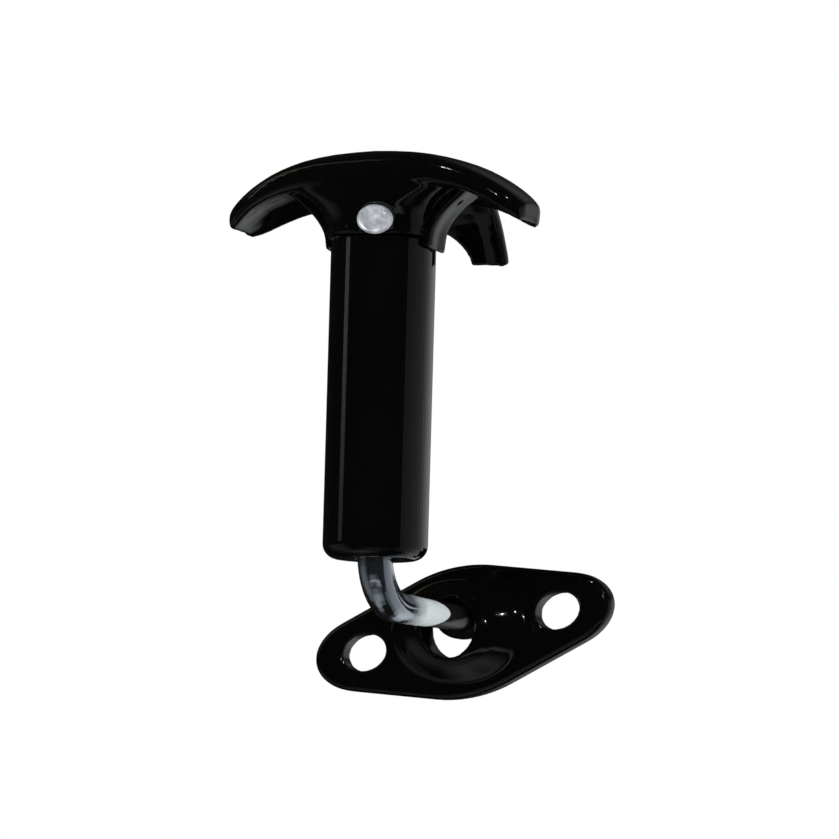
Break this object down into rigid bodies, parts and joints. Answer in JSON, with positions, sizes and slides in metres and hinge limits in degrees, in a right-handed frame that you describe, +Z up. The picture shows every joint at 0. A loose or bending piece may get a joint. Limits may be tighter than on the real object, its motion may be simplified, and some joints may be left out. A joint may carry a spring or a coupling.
{
  "type": "spring-loaded hood hold-down catch",
  "caption": "T-handle hold-down catch: sprung barrel and clawed head on a bent hook rod that swivels in a domed diamond base plate.",
  "frame": {"origin": "middle of the base plate's flat mounting face, behind the dome", "axes": "+Y out of the mounting face into the panel it bolts to, +Z up along the barrel, +X to the right seen from the front"},
  "size_m": [0.081, 0.0634, 0.1291],
  "materials": {
    "base_black_enamel": "gloss black enamel on a pressed steel plate",
    "hook_bright_zinc": "bright plated bent steel rod",
    "barrel_black_enamel": "gloss black enamel",
    "head_black_enamel": "gloss black enamel on a casting",
    "rivet_bright_zinc": "bright plated domed rivet",
    "lower_seat_zinc": "zinc plated washer",
    "spring_steel": "plain spring wire",
    "upper_seat_zinc": "zinc plated washer",
    "nut_zinc": "zinc plated hex nut"
  },
  "bodies": {
    "base": {"base_plate": "base_black_enamel"},
    "hook": {"hook_rod": "hook_bright_zinc", "lock_nut": "nut_zinc"},
    "spring_pack": {"compression_spring": "spring_steel", "upper_spring_seat": "upper_seat_zinc"},
    "handle": {"barrel": "barrel_black_enamel", "t_handle": "head_black_enamel", "cross_rivet": "rivet_bright_zinc", "lower_spring_seat": "lower_seat_zinc"}
  },
  "joints": [
    {"name": "hook_swivel", "type": "hinge", "parent": "base", "child": "hook", "pos_m": [0, -0.0046, 0.0032], "axis": [0, 1, 0], "range_deg": [-110, 110]},
    {"name": "handle_spin", "type": "hinge", "parent": "hook", "child": "spring_pack", "pos_m": [0, -0.0493, 0.06], "axis": [0, 0, 1], "continuous": true},
    {"name": "handle_pull", "type": "slide", "parent": "spring_pack", "child": "handle", "axis": [0, 0, 1], "range_m": [0, 0.012], "stiffness_N_per_m": 3000, "springref_m": -0.004, "deforming": ["compression_spring"]}
  ]
}
